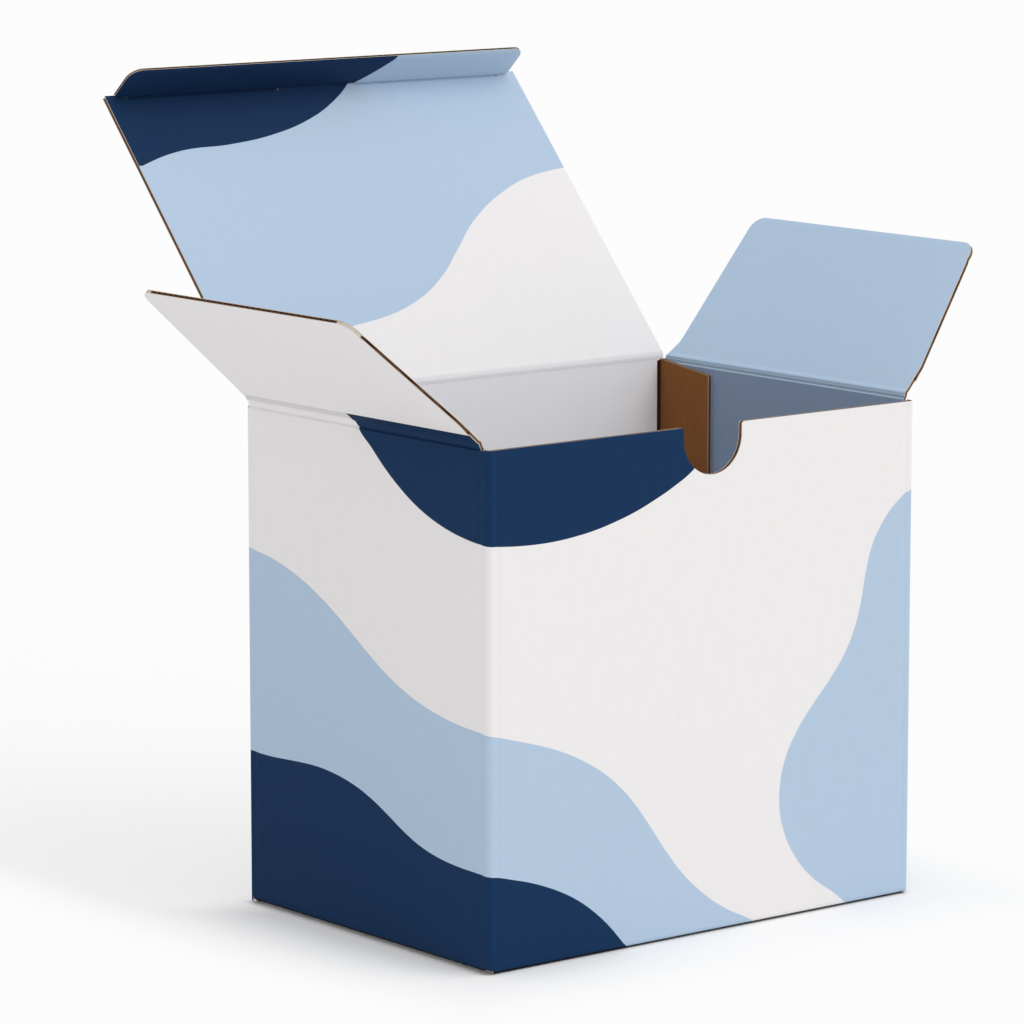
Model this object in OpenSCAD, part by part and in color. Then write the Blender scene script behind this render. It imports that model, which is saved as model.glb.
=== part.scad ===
// Corrugated tuck-top carton, standing open.
// One printed sheet of fluted board is folded and glued into four walls and a crash-lock
// bottom. The lid, its tuck flap and the two dust flaps turn on crushed creases, so each is
// a solid of its own with a round bead on its fold line.
// The origin is the middle of the base, +Z is up, and the wall with the thumb notch is at -Y.

/* [Carton] */
// Outside width across the front wall
carton_w = 200; // [150:1:300]
// Outside depth from the front wall to the back wall
carton_d = 142; // [110:1:220]
// Height of the front wall's cut edge
carton_h = 185; // [110:1:260]
// Outside radius where the board folds from one wall to the next
fold_r = 2.4; // [2:0.1:4]

/* [Board] */
// Thickness of the corrugated board
board_t = 1.8; // [1.5:0.1:1.9]
// Thickness of each liner
liner_t = 0.3; // [0.2:0.05:0.4]
// Thickness of the fluted paper between the liners
medium_t = 0.25; // [0.2:0.05:0.35]
// Distance from one flute to the next
flute_pitch = 3.3; // [2.5:0.1:5]
// Depth of the open flutes along the front wall's cut edge
edge_flute_depth = 3; // [1:0.5:6]
// How far a cut that runs along the flutes opens the board between its liners
side_groove = 1.2; // [0.5:0.1:2]
// Distance from a crease to the start of the flutes that are left whole
flute_start = 1.5; // [0.5:0.1:4]

/* [Creases] */
// Height of the dust flaps' fold lines above the front wall
flap_rise = 1.2; // [0.3:0.1:3]
// Length of board crushed on each side of the lid's and the dust flaps' folds
crease_reach = 2.5; // [2.4:0.1:4]
// Length of board crushed on each side of the tuck flap's fold
tuck_reach = 1.8; // [1.6:0.1:2.4]
// Radius of the bead on each fold line
bead_r = 0.8; // [0.6:0.05:0.85]
// Thickness of the crushed board beside a bead
neck_t = 0.6; // [0.4:0.05:0.7]
// Clearance between pieces that turn past each other
turn_gap = 0.3; // [0.3:0.05:0.5]

/* [Thumb notch] */
// Width of the notch
notch_w = 27.3; // [18:0.1:40]
// Depth of the notch below the front wall's edge
notch_deep = 17.8; // [10:0.1:30]
// Distance of the notch from the middle of the wall
notch_x = 2; // [-20:0.5:20]
// Radius at the notch's two upper corners
notch_lip_r = 1.2; // [0.5:0.1:3]

/* [Lid] */
// Angle of the lid, 0 when it is shut
lid_open = 132; // [0:1:225]
// Length of the slit at each end of the tuck flap's fold
slit_len = 9; // [4:0.5:20]
// How far the lid's corner tabs stand past the fold line
tab_reach = 1.9; // [1:0.1:2.5]
// Width of the short tongue in the middle of the fold
tongue_w = 35; // [20:1:60]
// How far the tongue stands past the fold line
tongue_reach = 1; // [0.6:0.1:1.5]

/* [Tuck flap] */
// Length of the tuck flap from its fold to its free edge
tuck_h = 17; // [15:0.5:40]
// Radius of the tuck flap's two corners
tuck_corner_r = 8; // [3:0.5:14]
// Distance from the lid's side edge in to the tuck flap's side edge
tuck_setback = 3.5; // [2:0.5:8]
// How far each side edge of the tuck flap draws in towards its corner
tuck_taper = 1.5; // [0:0.1:3]
// Angle of the tuck flap, 0 in line with the lid
tuck_fold = 90; // [0:1:90]
// Clearance between the tucked flap and the front wall
tuck_gap = 0.4; // [0.3:0.1:1]

/* [Dust flaps] */
// Length of a dust flap from its fold to its free edge
flap_h = 68; // [40:1:90]
// Length of the straight shoulder at the front of a dust flap
flap_shoulder = 13; // [6:0.5:25]
// Slope of the dust flap's front edge above its shoulder
flap_taper = 9.8; // [0:0.1:15]
// Radius of a dust flap's two corners
flap_corner_r = 6; // [2:0.5:12]
// Distance from the back wall's outside to a dust flap's back edge
flap_back_set = 5.5; // [4.5:0.5:15]
// Extra length of the crease past the dust flap's back edge
flap_foot = 1.8; // [0.5:0.1:2]
// Clearance between a dust flap's front edge and the tucked flap
flap_gap = 0.5; // [0.3:0.1:2]
// Angle of the left dust flap, 0 when it is shut
left_open = 138; // [0:1:225]
// Angle of the right dust flap, 0 when it is shut
right_open = 130; // [0:1:225]

/* [Glue flap] */
// Width of the glue flap, from the back wall's outside
glue_w = 30.3; // [15:0.1:45]
// Height lost along the glue flap's sloping ends
glue_drop = 3.8; // [0:0.1:10]
// Length of the glue flap's flat board that is joined to its fold
glue_root = 1; // [0.5:0.1:3]

/* [Bottom] */
// Length of the two inner bottom flaps
minor_len = 62; // [30:1:70]
// Width lost at each inner bottom flap's free corners
minor_cut = 30; // [5:1:45]
// How far the two outer bottom flaps hook past the middle
lock_step = 12; // [4:1:25]
// Half width of the slanted part of their seam
lock_slant = 10; // [2:1:20]
// Distance of that slanted part from the middle
lock_x = 20; // [0:1:40]
// Height of the slot under each folded corner
corner_foot = 1.8; // [1:0.1:2.4]

/* [Hidden] */
$fn = 64;

// Board colours
white_liner = "#E9E8EA";
pale_blue = "#A9C0DA";
kraft = "#8A5A38";

half_w = carton_w / 2;
half_d = carton_d / 2;

// Fold lines: the dust flaps fold first, and the lid lies one board higher
flap_z = carton_h + flap_rise;
lid_z = flap_z + board_t + turn_gap;
lid_y = half_d - board_t / 2;
crease_base_z = carton_h - 2 * crease_reach;
seat_r = bead_r + turn_gap;

// The lid clears a dust flap that stands upright beside it
lid_w = carton_w - 2 * (board_t + turn_gap);
tuck_v = lid_y + half_d - 1.5 * board_t - tuck_gap;
tab_u = lid_w / 2 - slit_len;
tongue_u = tongue_w / 2;
tuck_half = lid_w / 2 - tuck_setback;

// Ends of a dust flap along its fold
flap_front_y = -half_d + 2 * board_t + tuck_gap + flap_gap;
flap_back_y = half_d - flap_back_set;
flap_crease_y = flap_back_y + flap_foot;
flap_lean = (flap_h - flap_shoulder) * tan(flap_taper);

// The two bottom flaps under the side walls lie on the outer pair
corner_slot = fold_r + board_t;
walls_z = board_t + fold_r;
outer_half = half_w - corner_slot;
back_flat_x = half_w - board_t - fold_r;
glue_z = walls_z + board_t;

// Open flutes: each void is a trapezoid between a liner and the fluted paper
core_half = board_t / 2 - liner_t;
leg_run = 0.3 * flute_pitch;
leg_t = medium_t / sin(atan(2 * core_half / leg_run));
void_wide = flute_pitch / 4 + leg_run / 2 - leg_t / 2;
void_slim = flute_pitch / 4 - leg_run / 2 + leg_run * medium_t / (2 * core_half) - leg_t / 2;

// A length past any part, and how far a cut or a root runs past the face that it crosses
far = 400;
over = 1;

// Distance from a fold line at which a panel clears board that reaches past that line
function swept(reach) = norm([reach, board_t / 2]) + turn_gap;

// A rectangle with four round corners
module rounded_rect(w, d, r) {
    square([w - 2 * r, d], center = true);
    square([w, d - 2 * r], center = true);
    for (sx = [-1, 1], sy = [-1, 1])
        translate([sx * (w / 2 - r), sy * (d / 2 - r)]) circle(r);
}

// A quarter of the folded board, seen along its fold
module fold_quarter() {
    intersection() {
        difference() {
            circle(fold_r);
            circle(fold_r - board_t);
        }
        square(fold_r + over);
    }
}

// The flutes that a cut across them opens: x along the cut, y through the board
module flute_voids(width) {
    count = ceil(width / flute_pitch);
    for (k = [-count : count])
        translate([k * flute_pitch / 2, 0]) mirror([0, abs(k) % 2])
            polygon([[-void_wide, core_half], [-void_slim, medium_t - core_half],
                     [void_slim, medium_t - core_half], [void_wide, core_half]]);
}

// Plan of the four walls. The glue flap's fold lies inside the right wall's end.
module tube_plan() {
    difference() {
        rounded_rect(carton_w, carton_d, fold_r);
        rounded_rect(carton_w - 2 * board_t, carton_d - 2 * board_t, fold_r - board_t);
        translate([back_flat_x, half_d - fold_r]) square(corner_slot + over);
    }
    translate([half_w - board_t, half_d - fold_r]) square([board_t, fold_r]);
    translate([back_flat_x, half_d - fold_r]) fold_quarter();
    translate([half_w - 2 * board_t, half_d - fold_r - glue_root]) square([board_t, glue_root]);
}

// The thumb notch seen from the front, with the wall's edge at y = 0
module notch_plan() {
    notch_r = notch_w / 2;
    translate([0, notch_r - notch_deep]) circle(notch_r);
    translate([-notch_r, notch_r - notch_deep]) square([notch_w, notch_deep]);
    for (side = [0, 1])
        mirror([side, 0]) difference() {
            translate([notch_r - over, -notch_lip_r]) square(notch_lip_r + over);
            translate([notch_r + notch_lip_r, -notch_lip_r]) circle(notch_lip_r);
        }
}

// Crushed edge of a board under a fold line at the origin, running along Y
module crease_seat(len, foot, reach) {
    rotate([90, 0, 0]) linear_extrude(len, center = true) difference() {
        polygon([[-board_t / 2, -foot], [-board_t / 2, -reach],
                 [-neck_t / 2, turn_gap / 2 - seat_r], [neck_t / 2, turn_gap / 2 - seat_r],
                 [board_t / 2, -reach], [board_t / 2, -foot]]);
        circle(seat_r);
    }
}

// Round bead along a fold line on Y, between two places on it
module bead(from, to) {
    translate([0, to, 0]) rotate([90, 0, 0]) cylinder(r = bead_r, h = to - from);
}

// A panel's board beside its fold line: X away from the fold, Z through the board
module panel_board(reach, len) {
    rotate([90, 0, 0]) linear_extrude(far, center = true)
        polygon([[0, -neck_t / 2], [seat_r, -neck_t / 2], [reach, -board_t / 2],
                 [len, -board_t / 2], [len, board_t / 2], [reach, board_t / 2],
                 [seat_r, neck_t / 2], [0, neck_t / 2]]);
}

// Full flutes along a panel, from a place beside its fold to past its free edge
module panel_flutes(from, len, width) {
    translate([from, 0, 0]) rotate([90, 0, 90]) linear_extrude(len) flute_voids(width);
}

// Side wall crease: everything above the crushed board is cut back to its slope
module side_wall_cut() {
    translate([-half_w - over, flap_front_y - turn_gap, crease_base_z])
        cube([board_t + over, flap_crease_y - flap_front_y + 2 * turn_gap, far]);
}

module side_wall_crease() {
    translate([board_t / 2 - half_w, (flap_front_y + flap_crease_y) / 2, flap_z])
        crease_seat(flap_crease_y - flap_front_y + 2 * turn_gap, flap_z - crease_base_z, crease_reach);
}

module walls() {
    difference() {
        translate([0, 0, walls_z]) linear_extrude(carton_h - walls_z) tube_plan();
        for (side = [0, 1]) mirror([side, 0, 0]) side_wall_cut();
        translate([fold_r - half_w, lid_y - board_t / 2, crease_base_z])
            cube([back_flat_x + half_w - fold_r, board_t + over, far]);
        translate([notch_x, board_t + over - half_d, carton_h])
            rotate([90, 0, 0]) linear_extrude(board_t + 2 * over) notch_plan();
        front_edge_flutes();
    }
    for (side = [0, 1]) mirror([side, 0, 0]) side_wall_crease();
    translate([(back_flat_x + fold_r - half_w) / 2, lid_y, lid_z]) rotate([0, 0, 90])
        crease_seat(back_flat_x + half_w - fold_r, lid_z - crease_base_z, crease_reach);
}

// Flutes open at the front wall's cut edge, clear of the notch and the corners
module front_edge_flutes() {
    notch_clear = notch_w / 2 + notch_lip_r + over;
    translate([0, board_t / 2 - half_d, carton_h - edge_flute_depth])
        linear_extrude(edge_flute_depth + over) intersection() {
            flute_voids(carton_w);
            difference() {
                square([carton_w - 2 * corner_slot, board_t], center = true);
                translate([notch_x, 0]) square([2 * notch_clear, board_t + over], center = true);
            }
        }
}

// Glue flap inside the right wall, with sloping ends
module glue_flap() {
    end_y = half_d - glue_w;
    top_z = flap_z - board_t / 2 - turn_gap;
    translate([half_w - 2 * board_t, 0, 0]) rotate([90, 0, 90]) linear_extrude(board_t)
        polygon([[half_d - fold_r, glue_z], [half_d - fold_r, top_z],
                 [end_y, top_z - glue_drop], [end_y, glue_z + glue_drop]]);
}

// Lower end of a wall: its fold and the flap that it carries, seen along the wall
module bottom_fold() {
    translate([fold_r, fold_r]) rotate(180) fold_quarter();
    translate([0, fold_r]) square([board_t, walls_z - fold_r + over]);
}

// The two outer flaps hook past each other along a stepped seam
module outer_bottom_flap(step_x) {
    seam = turn_gap / 2;
    translate([0, -half_d, 0]) rotate([90, 0, 90])
        linear_extrude(2 * outer_half, center = true) bottom_fold();
    linear_extrude(board_t) translate([step_x, -seam])
        polygon([[-outer_half - step_x, fold_r + seam - half_d],
                 [outer_half - step_x, fold_r + seam - half_d],
                 [outer_half - step_x, -lock_step], [lock_slant, -lock_step],
                 [-lock_slant, lock_step], [-outer_half - step_x, lock_step]]);
}

// The two inner flaps lie on the outer pair and are glued to it
module inner_bottom_flap() {
    side = half_d - corner_slot;
    translate([-half_w, 0, board_t]) rotate([90, 0, 0])
        linear_extrude(2 * side, center = true) intersection() {
            bottom_fold();
            square(fold_r);
        }
    translate([-half_w, 0, board_t]) linear_extrude(board_t)
        polygon([[fold_r, -side], [minor_len - minor_cut, -side], [minor_len, minor_cut - side],
                 [minor_len, side - minor_cut], [minor_len - minor_cut, side], [fold_r, side]]);
}

// Folded corners run down past the walls' ends to a small slot
module corner_ends() {
    translate([0, 0, corner_foot]) linear_extrude(walls_z - corner_foot + over) intersection() {
        tube_plan();
        for (sx = [-1, 1], sy = [-1, 1])
            translate([sx * (half_w - corner_slot / 2), sy * (half_d - corner_slot / 2)])
                square(corner_slot, center = true);
    }
}

module carton() {
    color(white_liner) {
        walls();
        corner_ends();
        outer_bottom_flap(lock_x);
        rotate(180) outer_bottom_flap(-lock_x);
        for (side = [0, 1]) mirror([side, 0, 0]) inner_bottom_flap();
    }
    color(kraft) glue_flap();
}

// Lid in its own frame: fold line on Y, board along X, outer face up
module lid_board() {
    far_end = tuck_v - tuck_reach;
    difference() {
        union() {
            bead(-lid_w / 2, lid_w / 2);
            intersection() {
                panel_board(crease_reach, far_end);
                translate([0, -lid_w / 2, -board_t]) cube([far_end, lid_w, 2 * board_t]);
            }
            // Crushed edge before the tuck flap's fold
            translate([tuck_v, 0, 0]) rotate([0, 90, 0])
                crease_seat(2 * tab_u, tuck_reach + over, tuck_reach);
            // Corner tabs past the slits, and the tongue in the middle
            for (side = [-1, 1])
                translate([far_end - over, side * (tab_u + lid_w / 2) / 2 - slit_len / 2, -board_t / 2])
                    cube([tuck_reach + tab_reach + over, slit_len, board_t]);
            linear_extrude(board_t, center = true)
                polygon([[far_end - over, -tongue_u - tongue_reach], [tuck_v, -tongue_u - tongue_reach],
                         [tuck_v + tongue_reach, -tongue_u], [tuck_v + tongue_reach, tongue_u],
                         [tuck_v, tongue_u + tongue_reach], [far_end - over, tongue_u + tongue_reach]]);
        }
        // Side edges are cut along the flutes and stand open between the liners
        for (side = [-1, 1])
            translate([(crease_reach + tuck_v) / 2, side * lid_w / 2, 0])
                cube([tuck_v - crease_reach - over, 2 * side_groove, 2 * core_half], center = true);
    }
}

// Tuck flap in its own frame: fold line on Y, board along X, outer face up
module tuck_board() {
    tab_edge = tab_u - turn_gap;
    tongue_edge = tongue_u + tongue_reach + turn_gap;
    difference() {
        union() {
            bead(-tab_edge, -tongue_edge);
            bead(tongue_edge, tab_edge);
            intersection() {
                panel_board(tuck_reach, tuck_h);
                linear_extrude(2 * board_t, center = true) tuck_outline(tab_edge, tongue_edge);
            }
        }
        panel_flutes(tuck_reach + flute_start, tuck_h, 2 * tuck_half);
    }
}

module tuck_outline(tab_edge, tongue_edge) {
    r = tuck_corner_r;
    top = tuck_half - tuck_taper;
    difference() {
        union() {
            polygon([[0, -tuck_half], [0, tuck_half], [tuck_h - r, top], [tuck_h, top - r],
                     [tuck_h, r - top], [tuck_h - r, -top]]);
            for (side = [-1, 1]) translate([tuck_h - r, side * (top - r)]) circle(r);
        }
        for (side = [-1, 1])
            translate([0, side * (tab_edge + tuck_half / 2)])
                square([2 * swept(tab_reach), tuck_half], center = true);
        square([2 * swept(tongue_reach), 2 * tongue_edge], center = true);
    }
}

// Dust flap in its own frame: fold line on Y, board along X, outer face up
module flap_board() {
    difference() {
        union() {
            bead(flap_front_y, flap_crease_y);
            intersection() {
                panel_board(crease_reach, flap_h);
                linear_extrude(2 * board_t, center = true) flap_outline();
            }
        }
        panel_flutes(crease_reach + flute_start, flap_h, carton_d);
    }
}

module flap_outline() {
    r = flap_corner_r;
    front = flap_front_y + flap_lean;
    // Where the sloping front edge meets its corner's arc
    arc_x = r * sin(flap_taper);
    arc_y = r * cos(flap_taper);
    corner_y = front + r / cos(flap_taper) - r * tan(flap_taper);
    polygon([[0, flap_front_y], [flap_shoulder, flap_front_y],
             [flap_h - r - arc_x, corner_y - arc_y], [flap_h, corner_y],
             [flap_h, flap_back_y - r], [flap_h - r, flap_back_y],
             [crease_reach, flap_back_y], [crease_reach, flap_crease_y], [0, flap_crease_y]]);
    translate([flap_h - r, corner_y]) circle(r);
    translate([flap_h - r, flap_back_y - r]) circle(r);
}

module lid_place() {
    translate([0, lid_y, lid_z]) rotate([-lid_open, 0, 0]) rotate([0, 0, -90]) children();
}

module lid() {
    color(white_liner) lid_place() lid_board();
}

module tuck_flap() {
    color(pale_blue) lid_place() translate([tuck_v, 0, 0]) rotate([0, tuck_fold, 0]) tuck_board();
}

module left_dust_flap() {
    color(white_liner) translate([board_t / 2 - half_w, 0, flap_z])
        rotate([0, -left_open, 0]) flap_board();
}

module right_dust_flap() {
    color(pale_blue) mirror([1, 0, 0]) translate([board_t / 2 - half_w, 0, flap_z])
        rotate([0, -right_open, 0]) flap_board();
}

carton();
lid();
tuck_flap();
left_dust_flap();
right_dust_flap();
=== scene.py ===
import math
import bpy
import numpy as np
from mathutils import Matrix


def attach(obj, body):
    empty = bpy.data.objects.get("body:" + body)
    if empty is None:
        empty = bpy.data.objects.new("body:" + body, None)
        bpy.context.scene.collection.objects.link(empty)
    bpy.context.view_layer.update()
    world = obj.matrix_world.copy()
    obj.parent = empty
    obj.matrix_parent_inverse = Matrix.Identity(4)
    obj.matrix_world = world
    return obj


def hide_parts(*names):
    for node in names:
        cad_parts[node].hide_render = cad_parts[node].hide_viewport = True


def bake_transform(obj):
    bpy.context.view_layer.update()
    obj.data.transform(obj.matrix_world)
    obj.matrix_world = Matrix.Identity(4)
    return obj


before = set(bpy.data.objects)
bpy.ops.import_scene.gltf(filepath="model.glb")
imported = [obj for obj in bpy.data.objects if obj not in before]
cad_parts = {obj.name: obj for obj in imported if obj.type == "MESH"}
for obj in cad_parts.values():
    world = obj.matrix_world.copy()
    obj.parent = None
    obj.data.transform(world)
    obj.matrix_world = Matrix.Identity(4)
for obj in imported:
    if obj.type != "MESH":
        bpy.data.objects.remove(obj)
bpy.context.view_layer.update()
print("frame loaded:", ", ".join(sorted(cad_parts)))

# Sizes are in millimetres; a mesh is turned into metres as it is made.
mm = 0.001
# Sheet coordinates lie in the board: along the wall or the fold, then up or away from the
# fold, then out through the board, with 0 in the middle of its thickness.
carton = {"width": 200.0, "depth": 142.0, "height": 185.0, "foldRadius": 2.4}
board = {"thickness": 1.8, "liner": 0.28, "medium": 0.3, "flutePitch": 3.3, "flutePoints": 10, "recess": 0.3}
halfW, halfD, topZ = carton["width"] / 2, carton["depth"] / 2, carton["height"]
sideMid = halfW + halfD  # sheet coordinate of the side walls' middles, to the right and the left
backMid = 2 * sideMid
foldR, halfT = carton["foldRadius"], board["thickness"] / 2
coreT = halfT - board["liner"]
midR = foldR - halfT
jump = 0.03  # half the run in which a cut outline steps up or down
sharpFrom = 35.0  # degrees between two faces from which their edge stays sharp
# What the knife leaves: the ring of a pressed corner with its sweep in degrees, how far inside the
# outline it lies, and how far in from a cut edge the board is thinner
knife = {"ring": 1.2, "sweep": (-12, 97), "inside": 0.1, "pressed": 1.6}


# A closed sheet between two grids of points: both faces, and a rim that joins their edges
def sheetBetween(top, bottom, topSlot, bottomSlot, rimSlot):
    rows, cols = top.shape[:2]
    count = rows * cols
    index = np.arange(count).reshape(rows, cols)
    upper = np.stack([index[:-1, :-1], index[1:, :-1], index[1:, 1:], index[:-1, 1:]], -1).reshape(-1, 4)
    ring = np.concatenate([index[0, :-1], index[:-1, -1], index[-1, :0:-1], index[:0:-1, 0]])
    after = np.roll(ring, -1)
    rim = np.stack([ring, after, after + count, ring + count], -1)
    sides = [(upper, topSlot), (upper[:, ::-1] + count, bottomSlot), (rim, rimSlot)]
    return {
        "points": np.concatenate([top.reshape(-1, 3), bottom.reshape(-1, 3)]),
        "quads": np.concatenate([quads for quads, slot in sides]),
        "slots": np.concatenate([np.broadcast_to(slot, len(quads)) for quads, slot in sides]),
    }


# Six times the volume inside the quads: its sign says whether they face outwards
def signedVolume(points, quads):
    a, b, c, d = (points[quads[:, k]] - points.mean(0) for k in range(4))
    return (a * np.cross(b, c)).sum() + (a * np.cross(c, d)).sum()


# One object from several closed sheets. place turns sheet coordinates into the carton's frame.
def makePiece(name, sheets, place, materials, sheetOf=None):
    points, quads, slots, local, start = [], [], [], [], 0
    for sheet in sheets:
        world = place(sheet["points"])
        faces = sheet["quads"]
        if signedVolume(world, faces) < 0:
            faces = faces[:, ::-1]
        points.append(world)
        quads.append(faces + start)
        slots.append(sheet["slots"])
        local.append(sheetOf(sheet["points"]) if sheetOf else sheet["points"])
        start += len(world)
    points, quads = np.concatenate(points) * mm, np.concatenate(quads)
    mesh = bpy.data.meshes.new(name)
    mesh.vertices.add(len(points))
    mesh.vertices.foreach_set("co", points.astype(np.float32).ravel())
    mesh.loops.add(quads.size)
    mesh.loops.foreach_set("vertex_index", quads.astype(np.int32).ravel())
    mesh.polygons.add(len(quads))
    mesh.polygons.foreach_set("loop_start", np.arange(0, quads.size, 4, dtype=np.int32))
    mesh.polygons.foreach_set("material_index", np.concatenate(slots).astype(np.int32))
    mesh.update(calc_edges=True)
    mesh.validate()
    attribute = mesh.attributes.new("sheet", "FLOAT_VECTOR", "POINT")
    attribute.data.foreach_set("vector", np.concatenate(local).astype(np.float32).ravel())
    for material in materials:
        mesh.materials.append(material)
    mesh.shade_smooth()
    mesh.set_sharp_from_angle(angle=math.radians(sharpFrom))
    piece = bpy.data.objects.new(name, mesh)
    bpy.context.scene.collection.objects.link(piece)
    print("piece:", name, len(quads), "faces")
    return piece


# Sheet coordinates on a grid, at one depth in the board
def atDepth(along, away, depth):
    return np.stack(np.broadcast_arrays(along, away, depth), -1).astype(float)


# Both liners of a panel, as two closed sheets
def linersOf(along, away, outerSlot, innerSlot, edgeSlot, kraftSlot, dip=0.0):
    outer = sheetBetween(atDepth(along, away, halfT + dip), atDepth(along, away, coreT + dip),
                         outerSlot, kraftSlot, edgeSlot)
    inner = sheetBetween(atDepth(along, away, -coreT), atDepth(along, away, -halfT),
                         kraftSlot, innerSlot, edgeSlot)
    return [outer, inner]


# The fluted paper: a sine wave along the board with a paper's thickness
def mediumOf(along, away, slot):
    turn = 2 * math.pi / board["flutePitch"]
    height = coreT - board["medium"] / 2
    wave = height * np.sin(turn * along)
    slope = np.sqrt(1 + (height * turn * np.cos(turn * along)) ** 2)
    half = np.minimum(board["medium"] / 2 * slope, coreT - np.abs(wave))
    half = np.maximum(half, board["medium"] / 2)
    return sheetBetween(atDepth(along, away, wave + half), atDepth(along, away, wave - half),
                        slot, slot, slot)


# Values in order, with two close ones at each place where an outline steps
def columns(values, steps=()):
    close = [step + side for step in steps for side in (-jump, jump)]
    kept = [v for v in np.concatenate([np.ravel(v) for v in values])
            if all(abs(v - c) > 2 * jump for c in close)]
    return np.unique(np.round(np.concatenate([kept, close]), 3))


# Place of the walls: the sheet runs from the right wall's back end round the front, left and
# back walls to the glue flap, each fold turns it a quarter round its own centre, and the third
# coordinate stands out along the normal. A low dome in each wall but the back is its slight bow.
def wallPlace(p):
    s, z, n = p[..., 0], p[..., 1], p[..., 2]
    flatW, flatD, fold = halfW - foldR, halfD - foldR, 2 * foldR
    rise = np.sin(np.pi * np.clip(z / topZ, 0, 1))
    bow = np.zeros_like(s)
    for middle, half in ((sideMid, flatD), (0.0, flatW), (-sideMid, flatD)):
        bow += wear["bow"] * np.cos(np.pi / 2 * np.clip((s - middle) / half, -1, 1)) ** 2 * rise
    n = n + bow
    r = midR + n
    quarter = np.pi / 2 / fold
    leftEnd = -flatW - fold - 2 * flatD  # where the flat of the left wall ends
    a1 = (s - flatW) * quarter
    a2 = (-flatW - s) * quarter
    a3 = (leftEnd - s) * quarter
    a4 = (-glue["turn"] - s) * quarter
    inside = glue["turn"] - backMid  # x where the back wall turns in
    parts = [s > end for end in (flatW + fold, flatW, -flatW, -flatW - fold, leftEnd, leftEnd - fold,
                                 -glue["turn"], -glue["turn"] - fold)]
    x = np.select(parts, [halfW - halfT + n, flatW + r * np.sin(a1), s, -flatW - r * np.sin(a2),
                          -halfW + halfT - n, -flatW - r * np.cos(a3), -backMid - s,
                          inside + r * np.sin(a4)], inside + midR + n)
    y = np.select(parts, [s - sideMid, -flatD - r * np.cos(a1), -halfD + halfT - n,
                          -flatD - r * np.cos(a2), -sideMid - s, flatD + r * np.sin(a3),
                          halfD - halfT + n, flatD + r * np.cos(a4)],
                  s + glue["turn"] + fold + flatD)
    return np.stack([x, y, z], -1)


# Place of a panel on a fold: past the crease it is turned by the whole angle, before it not
# at all, and inside the crease by a smooth share of it
def foldPlace(fold):
    origin, along, away, out = (np.array(fold[k], float) for k in ("origin", "along", "away", "out"))
    low, high = fold["crease"]

    def place(p):
        u, w, n = (p[..., k, None] for k in range(3))
        share = np.clip((w - low) / (high - low), 0, 1)
        angle = math.radians(fold["angle"]) * share * share * (3 - 2 * share)
        awayNow = away * np.cos(angle) + out * np.sin(angle)
        outNow = out * np.cos(angle) - away * np.sin(angle)
        return origin + u * along + w * awayNow + n * outNow

    return place


# The directions of a panel past its crease, for a fold further out on it
def turned(fold):
    angle = math.radians(fold["angle"])
    away, out = np.array(fold["away"], float), np.array(fold["out"], float)
    return away * math.cos(angle) + out * math.sin(angle), out * math.cos(angle) - away * math.sin(angle)


# The crushed strip of a crease, as two skins with the fluted paper pressed between them. Its
# section gives both skins' heights and the materials of their runs, by the share of the way
# from the wall to the flap. The strip's far end leans in by the last value on that way.
def creaseStrip(low, high, fold, section, count=60, lean=0.0):
    share = np.linspace(0, 1, section["rows"])[:, None]
    first, last = fold["crease"][0], fold["seatEnd"]
    w = first + share * (last - first)
    outer, inner = (np.interp(share, *zip(*section[side])) for side in ("outer", "inner"))
    skin, inset = section["skin"], board["recess"]
    u = low + (high - lean * share - low) * np.linspace(0, 1, count)[None, :]
    coreU = low + inset + (high - lean * share - low - 2 * inset) * np.linspace(0, 1, count)[None, :]
    middle = (share[1:, 0] + share[:-1, 0]) / 2
    outerSlots, innerSlots = (
        np.repeat([next(slot for end, slot in section[runs] if at <= end) for at in middle], count - 1)
        for runs in ("outerRuns", "innerRuns"))
    w, outer, inner = w + 0 * u, outer + 0 * u, inner + 0 * u
    return [
        sheetBetween(atDepth(u, w, outer), atDepth(u, w, outer - skin), outerSlots, 2, 1),
        sheetBetween(atDepth(u, w, skin - inner), atDepth(u, w, -inner), 2, innerSlots, 1),
        sheetBetween(atDepth(coreU, w, outer - skin), atDepth(coreU, w, skin - inner), 2, 2, 2),
    ]


# A cut corner, where the knife presses the board shut: a quarter ring between the liners
def pressedCorner(centreU, centreV, radius, side, slot):
    outer = radius - knife["inside"]
    angle = np.radians(np.linspace(*knife["sweep"], 24))[None, :]
    depth = np.array([outer - knife["ring"], outer])[:, None]
    u, v = centreU + side * depth * np.cos(angle), centreV + depth * np.sin(angle)
    return sheetBetween(atDepth(u, v, coreT), atDepth(u, v, -coreT), slot, slot, slot)


# The knife leaves a cut edge thinner than the board: depths shrink towards it
def pressedEdge(p, fromEdge, thin):
    k = thin + (1 - thin) * np.clip(fromEdge / knife["pressed"], 0, 1)
    return np.stack([p[..., 0], p[..., 1], p[..., 2] * k], -1)


# A hex colour as linear red, green, blue and a full alpha
def srgb(code):
    values = [int(code[k:k + 2], 16) / 255 for k in (1, 3, 5)]
    return [v / 12.92 if v < 0.04045 else ((v + 0.055) / 1.055) ** 2.4 for v in values] + [1.0]


# Adds a node with its settings. An input is given as a constant or as the socket that feeds it.
def addNode(tree, kind, settings=None, inputs=None):
    node = tree.nodes.new(kind)
    for key, value in (settings or {}).items():
        setattr(node, key, value)
    for key, value in (inputs or {}).items():
        if isinstance(value, bpy.types.NodeSocket):
            tree.links.new(value, node.inputs[key])
        else:
            node.inputs[key].default_value = value
    return node


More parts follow.
